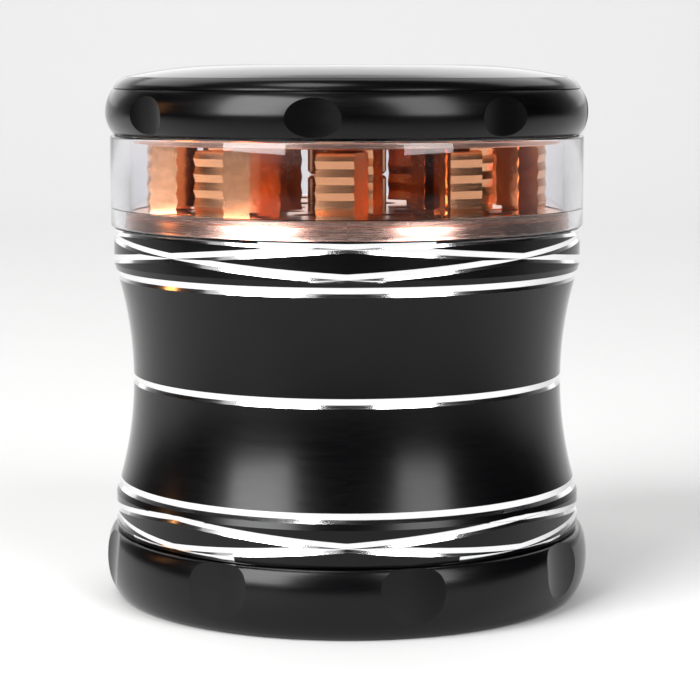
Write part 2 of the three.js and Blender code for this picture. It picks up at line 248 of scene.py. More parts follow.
# %% Node helpers
def new_group(name, inputs, outputs):
    group = bpy.data.node_groups.new(name, "ShaderNodeTree")
    for label, value in inputs.items():
        socket = group.interface.new_socket(label, in_out="INPUT", socket_type="NodeSocketFloat")
        socket.default_value = value
    for label in outputs:
        group.interface.new_socket(label, in_out="OUTPUT", socket_type="NodeSocketFloat")
    return group, group.nodes.new("NodeGroupInput"), group.nodes.new("NodeGroupOutput")


def math_node(tree, operation, first, second=None):
    node = tree.nodes.new("ShaderNodeMath")
    node.operation = operation
    for socket, value in zip(node.inputs, (first, second)):
        if value is None:
            continue
        if isinstance(value, (int, float)):
            socket.default_value = value
        else:
            tree.links.new(value, socket)
    return node.outputs[0]


def noise_node(tree, vector, scale, detail=2.0, roughness=0.5):
    node = tree.nodes.new("ShaderNodeTexNoise")
    node.inputs["Scale"].default_value = scale
    node.inputs["Detail"].default_value = detail
    node.inputs["Roughness"].default_value = roughness
    tree.links.new(vector, node.inputs["Vector"])
    return node.outputs["Fac"]


def vector_node(tree, x, y, z):
    node = tree.nodes.new("ShaderNodeCombineXYZ")
    for socket, value in zip(node.inputs, (x, y, z)):
        if isinstance(value, (int, float)):
            socket.default_value = value
        else:
            tree.links.new(value, socket)
    return node.outputs[0]


def ramp_node(tree, value, low, high):
    node = tree.nodes.new("ShaderNodeMapRange")
    node.inputs["From Min"].default_value = low
    node.inputs["From Max"].default_value = high
    tree.links.new(value, node.inputs["Value"])
    return node.outputs[0]


# %% [markdown]
# Turned metal carries fine lines around its axis. The same lines are wanted in black, copper and bright
# metal, so they are one node group. It measures the distance from the axis and the height, and makes
# noise from those two: a face on the side and a face on the end both get circles. A little of the angle
# is let in as well, so that a line comes and goes on its way around.

# %% Turning lines group
def make_turning_lines():
    group, given, made = new_group(
        "turning_lines", {"Lines per mm": 9.0, "Drift": 0.25}, ["Height", "Mask"]
    )
    place = group.nodes.new("ShaderNodeTexCoord").outputs["Object"]
    split = group.nodes.new("ShaderNodeSeparateXYZ")
    group.links.new(place, split.inputs[0])
    x, y, z = split.outputs
    squares = [math_node(group, "MULTIPLY", side, side) for side in (x, y)]
    radius = math_node(group, "SQRT", math_node(group, "ADD", *squares))
    per_metre = math_node(group, "MULTIPLY", given.outputs["Lines per mm"], 1000.0)
    drift = math_node(group, "MULTIPLY", given.outputs["Drift"], 40.0)
    lines = vector_node(
        group,
        math_node(group, "MULTIPLY", radius, per_metre),
        math_node(group, "MULTIPLY", z, per_metre),
        math_node(group, "MULTIPLY", math_node(group, "ARCTAN2", x, y), drift),
    )
    fine = noise_node(group, lines, 1.0, 1.0)
    coarse = noise_node(group, lines, 0.13, 1.0)
    shares = [math_node(group, "MULTIPLY", fine, 0.7), math_node(group, "MULTIPLY", coarse, 0.3)]
    both = math_node(group, "ADD", *shares)
    group.links.new(both, made.inputs["Height"])
    group.links.new(ramp_node(group, both, 0.35, 0.65), made.inputs["Mask"])
    return group


TURNING_LINES = make_turning_lines()
print("group:", TURNING_LINES.name)

# %% [markdown]
# Handling leaves soft cloudy patches and a few tiny bright specks. Clouds change the roughness a
# little; specks are rare cells of a Voronoi pattern.

# %% Handling marks group
def make_handling_marks():
    group, given, made = new_group(
        "handling_marks", {"Speck spacing mm": 2.2, "Speck size": 0.05}, ["Cloud", "Speck"]
    )
    place = group.nodes.new("ShaderNodeTexCoord").outputs["Object"]
    group.links.new(noise_node(group, place, 90.0, 3.0, 0.6), made.inputs["Cloud"])
    cells = group.nodes.new("ShaderNodeTexVoronoi")
    group.links.new(place, cells.inputs["Vector"])
    cell_scale = math_node(group, "DIVIDE", 1000.0, given.outputs["Speck spacing mm"])
    group.links.new(cell_scale, cells.inputs["Scale"])
    inside = math_node(group, "LESS_THAN", cells.outputs["Distance"], given.outputs["Speck size"])
    split = group.nodes.new("ShaderNodeSeparateColor")
    group.links.new(cells.outputs["Color"], split.inputs[0])
    rare = math_node(group, "GREATER_THAN", split.outputs[0], 0.8)
    group.links.new(math_node(group, "MULTIPLY", inside, rare), made.inputs["Speck"])
    return group


HANDLING_MARKS = make_handling_marks()
print("group:", HANDLING_MARKS.name)

# %% [markdown]
# Every metal here is one Principled shader fed by the two groups. What differs between them is the
# colour pair, the roughness pair and how deep the lines are, so one function builds them all.
#
# Black anodising is the odd one out. Its skin is a clear, dyed oxide, so it isn't set metallic: it has
# almost no colour of its own, mirrors weakly, smears highlights around the axis, and turns glossy where
# it is seen at a grazing angle. Copper comes twice, because the polished rim is pinker than the
# brushed plate and its teeth.

# %% Metal material
def use_group(tree, group, **values):
    node = tree.nodes.new("ShaderNodeGroup")
    node.node_tree = group
    for label, value in values.items():
        node.inputs[label.replace("_", " ")].default_value = value
    return node


def mix_colours(tree, factor, first, second):
    node = tree.nodes.new("ShaderNodeMix")
    node.data_type = "RGBA"
    node.inputs["A"].default_value = (*first, 1)
    node.inputs["B"].default_value = (*second, 1)
    tree.links.new(factor, node.inputs["Factor"])
    return node.outputs["Result"]


def turned_metal(name, colours, roughness, metallic, bump, anisotropic=0.0, ior=1.5, sheen_gain=0.0):
    material = bpy.data.materials.new(name)
    material.use_nodes = True
    tree = material.node_tree
    shader = tree.nodes["Principled BSDF"]
    lines = use_group(tree, TURNING_LINES)
    marks = use_group(tree, HANDLING_MARKS)
    worn = math_node(
        tree,
        "ADD",
        math_node(tree, "MULTIPLY", lines.outputs["Mask"], 0.5),
        math_node(tree, "MULTIPLY", marks.outputs["Cloud"], 0.5),
    )
    tree.links.new(mix_colours(tree, worn, *colours), shader.inputs["Base Color"])
    spread = ramp_node(tree, worn, 0.2, 0.8)
    low, high = roughness
    rough = math_node(tree, "ADD", math_node(tree, "MULTIPLY", spread, high - low), low)
    if sheen_gain:
        facing = tree.nodes.new("ShaderNodeLayerWeight").outputs["Facing"]
        gain = math_node(tree, "MULTIPLY", ramp_node(tree, facing, 0.6, 0.95), sheen_gain)
        rough = math_node(tree, "MULTIPLY", rough, math_node(tree, "SUBTRACT", 1.0, gain))
    tree.links.new(rough, shader.inputs["Roughness"])
    shader.inputs["Metallic"].default_value = metallic
    shader.inputs["IOR"].default_value = ior
    shader.inputs["Anisotropic"].default_value = anisotropic
    if anisotropic:
        tangent = tree.nodes.new("ShaderNodeTangent")
        tangent.direction_type = "RADIAL"
        tangent.axis = "Z"
        tree.links.new(tangent.outputs[0], shader.inputs["Tangent"])
    relief = tree.nodes.new("ShaderNodeBump")
    relief.inputs["Strength"].default_value = 1.0
    relief.inputs["Distance"].default_value = bump * MM
    height = math_node(
        tree, "ADD", lines.outputs["Height"], math_node(tree, "MULTIPLY", marks.outputs["Speck"], 0.8)
    )
    tree.links.new(height, relief.inputs["Height"])
    tree.links.new(relief.outputs["Normal"], shader.inputs["Normal"])
    return material


# %% Metals
black = turned_metal(
    "satin black skin", ((0.0007, 0.0007, 0.0009), (0.0015, 0.0015, 0.0018)), (0.19, 0.25), 0.0, 0.0003,
    anisotropic=0.3, ior=1.34, sheen_gain=0.8,
)
bright = turned_metal(
    "bright cut aluminium", ((0.93, 0.93, 0.94), (0.97, 0.97, 0.98)), (0.09, 0.16), 1.0, 0.0001
)
copper = turned_metal(
    "polished copper skin", ((0.95, 0.57, 0.45), (0.97, 0.65, 0.54)), (0.20, 0.30), 1.0, 0.00008
)
brushed_copper = turned_metal(
    "brushed copper skin", ((0.94, 0.43, 0.20), (0.97, 0.52, 0.29)), (0.20, 0.28), 1.0, 0.00004
)
steel = turned_metal(
    "bead blasted steel", ((0.52, 0.52, 0.51), (0.62, 0.62, 0.61)), (0.24, 0.36), 1.0, 0.0004
)
nickel = turned_metal(
    "bright nickel", ((0.60, 0.58, 0.55), (0.68, 0.66, 0.62)), (0.14, 0.24), 1.0, 0.0003
)
print("metals:", [m.name for m in (black, bright, copper, brushed_copper, steel, nickel)])

# %% [markdown]
# The window is cast acrylic, turned and flame-polished. Acrylic bends light a little less than glass
# (IOR 1.49) and is tinted very faintly violet. The lid turns on a ring of natural nylon, a cloudy
# plastic that lets some light in under its surface.

# %% Plastic materials
def make_acrylic():
    material = bpy.data.materials.new("cast acrylic")
    material.use_nodes = True
    tree = material.node_tree
    shader = tree.nodes["Principled BSDF"]
    lines = use_group(tree, TURNING_LINES, **{"Lines_per_mm": 3.0})
    marks = use_group(tree, HANDLING_MARKS, **{"Speck_spacing_mm": 3.5, "Speck_size": 0.03})
    tree.links.new(
        mix_colours(tree, marks.outputs["Cloud"], (0.965, 0.955, 0.985), (0.99, 0.985, 1.0)),
        shader.inputs["Base Color"],
    )
    rough = math_node(tree, "MULTIPLY", marks.outputs["Cloud"], 0.05)
    tree.links.new(rough, shader.inputs["Roughness"])
    shader.inputs["Transmission Weight"].default_value = 1.0
    shader.inputs["IOR"].default_value = 1.49
    relief = tree.nodes.new("ShaderNodeBump")
    relief.inputs["Distance"].default_value = 0.0003 * MM
    height = math_node(tree, "ADD", lines.outputs["Height"], marks.outputs["Speck"])
    tree.links.new(height, relief.inputs["Height"])
    tree.links.new(relief.outputs["Normal"], shader.inputs["Normal"])
    return material


def make_nylon():
    material = bpy.data.materials.new("natural nylon")
    material.use_nodes = True
    tree = material.node_tree
    shader = tree.nodes["Principled BSDF"]
    marks = use_group(tree, HANDLING_MARKS)
    lines = use_group(tree, TURNING_LINES, **{"Lines_per_mm": 5.0})
    tree.links.new(
        mix_colours(tree, marks.outputs["Cloud"], (0.74, 0.71, 0.63), (0.84, 0.82, 0.75)),
        shader.inputs["Base Color"],
    )
    rough = math_node(tree, "ADD", math_node(tree, "MULTIPLY", lines.outputs["Mask"], 0.15), 0.4)
    tree.links.new(rough, shader.inputs["Roughness"])
    shader.inputs["Subsurface Weight"].default_value = 0.15
    shader.inputs["Subsurface Radius"].default_value = (0.001, 0.0008, 0.0006)
    return material


acrylic = make_acrylic()
nylon = make_nylon()
print("plastics:", acrylic.name, "and", nylon.name)

# %% [markdown]
# ## Screw threads
# The base collar and the chamber skirt carry a male thread, and both ends of the storage body a female
# one. The joints lift a unit 2 mm in each turn, so the ridge climbs 2 mm in each turn as well and the
# flanks stay in step at every pose. A ridge is one swept four-sided section that fades out at its ends.

# %% Thread helper
LEAD = 2.0
MALE_CORE = 26.7
MALE_CREST = 27.3
FEMALE_BORE = 26.95
FEMALE_ROOT = 27.5
RIDGE_WIDTHS = (1.1, 0.45)  # at the root and at the crest
TAP_WIDTHS = (1.75, 0.75)
OVERLAP = 0.3  # how far a ridge or a tap reaches into its neighbour, so that the Boolean is clean


def thread(name, root, crest, bottom, top, widths):
    per_turn = 96
    count = int((top - bottom) / LEAD * per_turn)
    fade = per_turn // 6
    root_width, crest_width = widths
    sections = []
    for i in range(count + 1):
        angle = 360 * i / per_turn
        height = bottom + LEAD * i / per_turn
        rise = min(1.0, 0.02 + i / fade, 0.02 + (count - i) / fade)
        reach = root + (crest - root) * rise
        corners = [
            (root, height - root_width / 2),
            (reach, height - crest_width / 2),
            (reach, height + crest_width / 2),
            (root, height + root_width / 2),
        ]
        sections.append([front_point(r, angle, z) for r, z in corners])
    return swept(name, sections)


# %% [markdown]
# ## Finger scallops
# The base and the lid each have eight shallow scallops for the fingers. A scallop is what a large drum
# cutter leaves when it grazes the round rim: an oval. The cutter stands almost upright, and leans a few
# degrees so that the oval faces a little towards the waist: up on the base and down on the lid.

# %% Scallop cutters
SCALLOP_COUNT = 8


def scallop_cutters(first_angle, wall_radius, centre_height, lean, radius):
    half_height = 7
    tools = []
    for k in range(SCALLOP_COUNT):
        cutter = disc("cutter", radius, -half_height, half_height, steps=256)
        place = (
            Matrix.Rotation(math.radians(first_angle + k * 360 / SCALLOP_COUNT), 4, "Z")
            @ Matrix.Translation((0, -wall_radius * MM, centre_height * MM))
            @ Matrix.Rotation(math.radians(lean), 4, "X")
            @ Matrix.Translation((0, -radius * MM, 0))
        )
        cutter.data.transform(place)
        tools.append(cutter)
    return gather("cutters", tools)


# %% [markdown]
# ## Base tray
# The base is a turned cup with a rounded rim, a shoulder for the body to stand on, and a collar that
# screws into the body. The rim's lower and upper halves are quarter ellipses that meet at the widest
# point. Inside, floor and wall meet in a round corner, so that the powder can be scooped out.

# %% Base tray
BASE_TOP = 9.0
COLLAR_INNER = 24.8


def make_base_tray():
    foot, belly, shoulder = 29.6, 5.1, 30.9
    floor, corner = 2.0, 3.0
    edge = 0.4
    outline = [
        (0, 0),
        *arc((foot, belly), (BASE_RIM_RADIUS - foot, belly), -90, 0, 28),
        *arc((shoulder, belly), (BASE_RIM_RADIUS - shoulder, BASE_TOP - belly), 0, 90, 24)[1:],
        (MALE_CORE, BASE_TOP),
        (MALE_CORE, COLLAR_TOP - edge),
        (MALE_CORE - edge, COLLAR_TOP),
        (COLLAR_INNER + edge / 2, COLLAR_TOP),
        (COLLAR_INNER, COLLAR_TOP - edge / 2),
        *arc((COLLAR_INNER - corner, floor + corner), (corner, corner), 0, -90, 16),
        (0, floor),
    ]
    piece = turned("Base_Tray", outline)
    tools = scallop_cutters(first_angle=14.8, wall_radius=31.27, centre_height=5.5, lean=-5.0, radius=16.6)
    combine(piece, tools, "DIFFERENCE")
    ridge = thread(
        "ridge", MALE_CORE - OVERLAP, MALE_CREST, BASE_TOP + 1.0, COLLAR_TOP - 0.7, RIDGE_WIDTHS
    )
    combine(piece, ridge, "UNION")
    finish_piece(piece, "base", "base_tray", [black])


make_base_tray()

# %% [markdown]
# ## Storage body
# The body is a cylinder with a hollowed waist: two straight bands, and between them one long arc that
# meets each band in a crease. Inside it has a female thread at each end, and a seat for the screen.

# %% Body outline
WAIST_RADIUS = 28.35
BAND_HEIGHT = 4.7
WAIST_HEIGHT = (BODY_BOTTOM + BODY_TOP) / 2
LOWER_CREASE = BODY_BOTTOM + BAND_HEIGHT
UPPER_CREASE = BODY_TOP - BAND_HEIGHT

waist_rise = BAND_RADIUS - WAIST_RADIUS
waist_half = WAIST_HEIGHT - LOWER_CREASE
WAIST_ARC = (waist_half**2 + waist_rise**2) / (2 * waist_rise)


def waist_radius_at(height):
    return WAIST_RADIUS + WAIST_ARC - math.sqrt(WAIST_ARC**2 - (height - WAIST_HEIGHT) ** 2)


def band_radius_at(height):
    return BAND_RADIUS


def surface_radius_at(height):
    return waist_radius_at(height) if LOWER_CREASE < height < UPPER_CREASE else BAND_RADIUS


def body_outline():
    edge = 0.2
    thread_end = 0.6
    upper_end = SKIRT_BOTTOM - thread_end
    lower_end = BODY_BOTTOM + 5.0
    seat = SCREEN_TOP + 0.05
    bore = 25.8
    seat_radius = 26.6
    waist = [LOWER_CREASE + (UPPER_CREASE - LOWER_CREASE) * i / 64 for i in range(65)]
    return [
        (FEMALE_ROOT, BODY_BOTTOM),
        (BAND_RADIUS - edge, BODY_BOTTOM),
        (BAND_RADIUS, BODY_BOTTOM + edge),
        *[(waist_radius_at(z), z) for z in waist],
        (BAND_RADIUS, BODY_TOP - edge),
        (BAND_RADIUS - edge, BODY_TOP),
        (FEMALE_ROOT, BODY_TOP),
        (FEMALE_BORE, BODY_TOP - 0.5),
        (FEMALE_BORE, upper_end),
        (bore, upper_end - 1.4),
        (bore, seat + 2.4),
        (COLLAR_INNER, seat + 1.4),
        (COLLAR_INNER, seat),
        (seat_radius, seat),
        (seat_radius, lower_end),
        (FEMALE_BORE, lower_end),
        (FEMALE_BORE, BODY_BOTTOM + 0.5),
    ]


# %% [markdown]
# ## Bright rings
# The decoration is cut last, through the black skin into bare aluminium: three plain rings, and at each
# end four rings cut with the work tilted, which cross each other like woven wire. Every groove is a
# shallow V, and its two flanks mirror different light. The upper flank is the wider one, and it is
# meant to draw the line. A cutter is a V swept around the body, with its edges on the surface. Where a
# tilted ring would run on into the waist, the cutter is lifted off the metal.

# %% Ring grooves
RING_WIDTH = 1.25
RING_DEPTH = 0.26
RING_FROM_CREASE = 1.4
TILT_RISE = 2.6  # how far a tilted ring climbs above and falls below its middle
TILTED_FROM_WAIST = 17.3
TILTED_WIDTH = 1.12
TILTED_DEPTH = 0.22
TILTED_PER_END = 4
UPPER_SHARE = 0.64  # part of a groove's width that its upper flank takes
FADE_START = 0.22  # the tool starts to lift this far before it reaches the crease
FADE_LENGTH = 0.36  # and it is all the way up after this much more height
CLEAR = 0.08  # how far a lifted tool stays off the metal


def lift_past_crease(height):
    # The tool leaves the metal where a tilted ring runs past the crease of the waist.
    inside_band = max(LOWER_CREASE - height, height - UPPER_CREASE)
    return min(1.0, max(0.0, (FADE_START - inside_band) / FADE_LENGTH))


def ring_cutter(middle, radius_at, width, depth, rise=0.0, top_angle=0.0):
    overrun = 3.0  # the flanks run from the tip to the edges on the surface, and on past them
    sections = []
    for i in range(STEPS * 2):
        angle = 180 * i / STEPS
        height = middle + rise * math.cos(math.radians(angle - top_angle))
        lift = lift_past_crease(height) * (depth + CLEAR) if rise else 0.0
        tip_height = height - width * (UPPER_SHARE - 0.5)
        tip_radius = radius_at(tip_height) - depth
        corners = [(tip_radius + lift, tip_height)]
        for edge_height in (height - width / 2, height + width / 2):
            out = (radius_at(edge_height) - tip_radius) * overrun
            along = (edge_height - tip_height) * overrun
            corners.append((tip_radius + lift + out, tip_height + along))
        sections.append([front_point(r, angle, z) for r, z in corners])
    return swept("ring cutter", sections, closed=True)


def cut_rings(piece):
    plain = [LOWER_CREASE + RING_FROM_CREASE, WAIST_HEIGHT, UPPER_CREASE - RING_FROM_CREASE]
    tools = [ring_cutter(z, waist_radius_at, RING_WIDTH, RING_DEPTH) for z in plain]
    combine(piece, gather("plain rings", tools), "DIFFERENCE")
    for side, first in ((1, 45), (-1, 0)):
        middle = WAIST_HEIGHT + side * TILTED_FROM_WAIST
        for k in range(TILTED_PER_END):
            top_angle = first + 360 * k / TILTED_PER_END
            tool = ring_cutter(middle, band_radius_at, TILTED_WIDTH, TILTED_DEPTH, TILT_RISE, top_angle)
            combine(piece, tool, "DIFFERENCE")


# %% [markdown]
# The bare metal has to be picked out of the finished mesh. A face belongs to a groove when it faces
# outwards and lies under the outside surface. That test would also pick the broken edges at the two
# ends, which are anodised, so faces close to an end are left black.

# %% Storage body
LOWER_EDGE_ZONE, UPPER_EDGE_ZONE = 0.45, 0.22


def in_groove(polygon):
    x, y, z = polygon.center / MM
    radius = math.hypot(x, y)
    normal = polygon.normal
    outward = (normal.x * x + normal.y * y) / max(radius, 1e-9)
    deep = surface_radius_at(z) - radius
    near_rim = z < BODY_BOTTOM + LOWER_EDGE_ZONE or z > BODY_TOP - UPPER_EDGE_ZONE
    return 1 if outward > 0.3 and deep > 0.02 and not near_rim else 0


def make_storage_body():
    piece = turned("Storage_Body", body_outline())
    cut_rings(piece)
    lower_thread = (BODY_BOTTOM - 1.1, BODY_BOTTOM + 5.2)
    upper_thread = (SKIRT_BOTTOM - 1.0, BODY_TOP + 1.2)
    for bottom, top in (lower_thread, upper_thread):
        tool = thread("tap", FEMALE_BORE - OVERLAP, FEMALE_ROOT, bottom, top, TAP_WIDTHS)
        combine(piece, tool, "DIFFERENCE")
    finish_piece(piece, "storage", "storage_body", [black, bright], in_groove)


make_storage_body()

# %% [markdown]
# ## Screen
# A grinder's screen is woven from fine steel wire. Each wire is a thin tube that goes over and under
# the wires that cross it. The mesh is coarser than a real 100-mesh screen, because wires much finer
# than this would only flicker, and it is clipped to a disc that a pressed ring holds against its seat.

# %% Woven screen
WIRE_PITCH = 0.72
WIRE_RADIUS = 0.075


def woven_wires():
    middle = (SCREEN_BOTTOM + SCREEN_TOP) / 2
    reach = SCREEN_RADIUS - 0.3
    half_count = int(reach / WIRE_PITCH)
    wires = []
    for across in (0, 1):
        for k in range(-half_count, half_count + 1):
            offset = k * WIRE_PITCH
            half_length = math.sqrt(reach**2 - offset**2)
            crossings = int(half_length / WIRE_PITCH)
            sections = []
            for i in range(-2 * crossings, 2 * crossings + 1):
                along = i * WIRE_PITCH / 2
                side = 1 if (k + across) % 2 else -1
                height = middle + side * WIRE_RADIUS * math.cos(math.pi * i / 2)
                ring = []
                for corner in range(4):
                    turn = math.pi * (corner / 2 + 0.25)
                    out, up = WIRE_RADIUS * math.cos(turn), height + WIRE_RADIUS * math.sin(turn)
                    ring.append((offset + out, -along, up) if across else (along, offset + out, up))
                sections.append(ring)
            if len(sections) > 1:
                wires.append(sections)
    return wires


def make_screen():
    tools = [swept("wire", sections) for sections in woven_wires()]
    frame_edge = turned(
        "frame",
        [
            (SCREEN_RADIUS - 1.0, SCREEN_BOTTOM),
            (SCREEN_RADIUS, SCREEN_BOTTOM),
            (SCREEN_RADIUS, SCREEN_TOP),
            (SCREEN_RADIUS - 1.0, SCREEN_TOP),
        ],
    )
    piece = gather("Screen_Mesh", [*tools, frame_edge])
    finish_piece(piece, "storage", "screen_mesh", [steel], edge_angle=50)


make_screen()

# %% [markdown]
# The ring that holds the screen is a plain turned washer. Only its lower edges are broken, because its
# flat top face has to bear on the screen's rim. In the model it is alone on the body that only rises,
# and stands for what carries the storage unit up its thread. It is round, so it doesn't matter that it
# stays still while the unit turns.

# %% Screen ring
def make_screen_ring():
    bottom, top, outer = span("screen_ring")
    edge = 0.25
    outline = [
        (COLLAR_INNER, bottom + edge),
        (COLLAR_INNER + edge, bottom),
        (outer - edge, bottom),
        (outer, bottom + edge),
        (outer, top),
        (COLLAR_INNER, top),
    ]
    piece = turned("Screen_Ring", outline)
    finish_piece(piece, "storage_riser", "screen_ring", [steel])


make_screen_ring()

# %% [markdown]
# ## Teeth
# The lathe cuts both round faces of a ring of metal with a fine zigzag before the mill cuts the gaps,
# so a tooth has ribs on its round faces and flat, slanted sides. Here a tooth is a stack of outlines:
# at each height the round faces move in or out by the zigzag, and the corners slide along the sides.

# %% Tooth builder
TOOTH_WIDTH = 4.6
TOOTH_SKEW = 4.0  # degrees that a tooth's inner face is turned against its outer face
TOOTH_ROOT = 0.5  # how far a tooth or a hub is sunk into its plate
FACE_STEPS = 6
RIB_PITCH = 1.9
RIB_DEPTH = 0.22


def tooth_outline(inner, outer, angle, inset):
    half_outer = math.degrees((TOOTH_WIDTH / 2) / outer)
    half_inner = math.degrees((TOOTH_WIDTH / 2) / inner)
    start, end = angle - half_outer, angle + half_outer
    lean = TOOTH_SKEW / (outer - inner)
    points = []
    for radius, low, high in (
        (outer - inset, start + lean * inset, end + lean * inset),
        (inner + inset, angle + TOOTH_SKEW + half_inner, angle + TOOTH_SKEW - half_inner),
    ):
        shift = 0 if radius > (inner + outer) / 2 else -lean * inset
        for i in range(FACE_STEPS + 1):
            points.append(front_point(radius, low + (high - low) * i / FACE_STEPS + shift))
    return points


def tooth(row, angle, bottom, top, tip_up):
    edge = 0.12
    length = top - bottom
    ribs = round(length / RIB_PITCH * 2)
    heights = [bottom + length * i / ribs for i in range(ribs + 1)]
    sections = []
    for i, height in enumerate(heights):
        inset = RIB_DEPTH if i % 2 else 0.0
        if tip_up and i == ribs:
            sections.append((height - edge, inset))
            sections.append((height, inset + edge))
        elif not tip_up and i == 0:
            sections.append((height, inset + edge))
            sections.append((height + edge, inset))
        else:
            sections.append((height, inset))
    rings = []
    for height, inset in sections:
        outline = tooth_outline(row["inner"], row["outer"], angle, inset)
        rings.append([(x, y, height) for x, y, _ in outline])
    return swept("tooth", rings)


def teeth(rows, bottom, top, tip_up):
    tools = []
    for row in rows:
        for k in range(row["count"]):
            tools.append(tooth(row, row["start"] + 360 * k / row["count"], bottom, top, tip_up))
    return gather("teeth", tools)


# %% [markdown]
# ## Window chamber
# The chamber's floor is one copper-coloured plate: a polished flange that the window ring is bonded
# around, two rows of standing teeth, drop holes with broken edges, a hub with a magnet in its end, and
# a threaded skirt that screws into the storage body. Below a fine turned line, the flange flares out a
# little towards its lower edge.

# %% Chamber tooth plate
CHAMBER_FLOOR = 51.3
HUB_RADIUS = 5.2
HUB_GAP = 55.2
HUB_CLEARANCE = 0.1
MAGNET_POCKET_RADIUS = 3.6
POCKET_DEPTH = 2.1
CHAMBER_ROWS = [
    {"inner": 23.4, "outer": 26.4, "count": 10, "start": -3.3},
    {"inner": 16.0, "outer": 19.0, "count": 8, "start": 2.0},
]
LID_ROWS = [
    {"inner": 19.7, "outer": 22.7, "count": 8, "start": 2.0},
    {"inner": 12.3, "outer": 15.3, "count": 8, "start": 3.0},
]
DROP_HOLES = [
    {"circle": 24.9, "radius": 1.5, "count": 10, "start": 14.7},
    {"circle": 21.2, "radius": 1.8, "count": 12, "start": 0.0},
    {"circle": 13.8, "radius": 1.8, "count": 8, "start": 24.5},
    {"circle": 8.7, "radius": 1.8, "count": 6, "start": 0.0},
]


def drill(radius, bottom, top):
    # A drill with a countersink where it leaves each face.
    sink = 0.25
    run = 0.5
    return turned(
        "drill",
        [
            (0, bottom - run),
            (radius + sink + run, bottom - run),
            (radius, bottom + sink),
            (radius, top - sink),
            (radius + sink + run, top + run),
            (0, top + run),
        ],
        steps=40,
    )


def drop_hole_drills():
    drills = []
    for row in DROP_HOLES:
        for k in range(row["count"]):
            tool = drill(row["radius"], WINDOW_BOTTOM, CHAMBER_FLOOR)
            place = Vector(front_point(row["circle"], row["start"] + 360 * k / row["count"])) * MM
            tool.data.transform(Matrix.Translation(place))
            drills.append(tool)
    return gather("drills", drills)


def magnet_pocket(bottom, top):
    radius = MAGNET_POCKET_RADIUS
    return turned("pocket", [(0, bottom), (radius, bottom), (radius, top), (0, top)], 96)


def hub(bottom, top, edge_up):
    edge = 0.3
    low_edge = 0 if edge_up else edge
    high_edge = edge if edge_up else 0
    outline = [(0, bottom), (HUB_RADIUS - low_edge, bottom)]
    if low_edge:
        outline.append((HUB_RADIUS, bottom + low_edge))
    if high_edge:
        outline.append((HUB_RADIUS, top - high_edge))
    outline += [(HUB_RADIUS - high_edge, top), (0, top)]
    return turned("hub", outline, 128)


def on_rim(polygon):
    # The rims of both plates are turned to a finer finish than the milled teeth.
    x, y, z = polygon.center / MM
    return 1 if math.hypot(x, y) > LID_PLATE_RADIUS - 0.3 else 0


def make_chamber_tooth_plate():
    line, line_half, edge = 50.6, 0.1, 0.15
    neck = FLANGE_RADIUS - 0.07
    flare_radius = 14.0
    flare_start = (FLANGE_RADIUS, WINDOW_BOTTOM + edge / 2)
    skirt_edge = 0.4
    outline = [
        (0, WINDOW_BOTTOM),
        (COLLAR_INNER, WINDOW_BOTTOM),
        (COLLAR_INNER, SKIRT_BOTTOM + skirt_edge / 2),
        (COLLAR_INNER + skirt_edge / 2, SKIRT_BOTTOM),
        (MALE_CORE - skirt_edge, SKIRT_BOTTOM),
        (MALE_CORE, SKIRT_BOTTOM + skirt_edge),
        (MALE_CORE, WINDOW_BOTTOM),
        (FLANGE_RADIUS - edge, WINDOW_BOTTOM),
        *arc_between(flare_start, (neck, line - line_half), flare_radius, 10),
        (neck - line_half, line),
        (neck, line + line_half),
        (neck, CHAMBER_FLOOR - edge),
        (neck - edge, CHAMBER_FLOOR),
        (0, CHAMBER_FLOOR),
    ]
    piece = turned("Chamber_Tooth_Plate", outline)
    hub_top = HUB_GAP - HUB_CLEARANCE
    combine(piece, drop_hole_drills(), "DIFFERENCE")
    root = CHAMBER_FLOOR - TOOTH_ROOT
    combine(piece, teeth(CHAMBER_ROWS, root, CHAMBER_TOOTH_TOP, True), "UNION")
    combine(piece, hub(root, hub_top, True), "UNION")
    combine(piece, magnet_pocket(hub_top - POCKET_DEPTH, hub_top + 1), "DIFFERENCE")
    ridge = thread(
        "ridge", MALE_CORE - OVERLAP, MALE_CREST, SKIRT_BOTTOM + 1.0, WINDOW_BOTTOM - 0.9, RIDGE_WIDTHS
    )
    combine(piece, ridge, "UNION")
    finish_piece(piece, "chamber", "chamber_tooth_plate", [brushed_copper, copper], on_rim)


make_chamber_tooth_plate()

# %% [markdown]
# Each hub holds a nickel-plated magnet in a pocket in its end. The two pull the lid down, so that it
# needs no thread. One function makes both, with its sizes from the CAD model. The lower one is alone
# on the body that carries the chamber up its thread, as the screen ring is for the storage unit.

# %% Magnets
def make_magnet(name, node, body):
    bottom, top, radius = span(node)
    piece = disc(name, radius, bottom, top, steps=96, edge=0.15)
    finish_piece(piece, body, node, [nickel])


make_magnet("Chamber_Magnet", "chamber_magnet", "chamber_riser")
make_magnet("Lid_Magnet", "lid_magnet", "lid")

# %% [markdown]
# The window is a plain tube with a step inside, which sits on the flange. Its edges are rounded,
# because light caught in rounded edges is what makes clear plastic readable.

# %% Window ring
WINDOW_BORE = 28.5


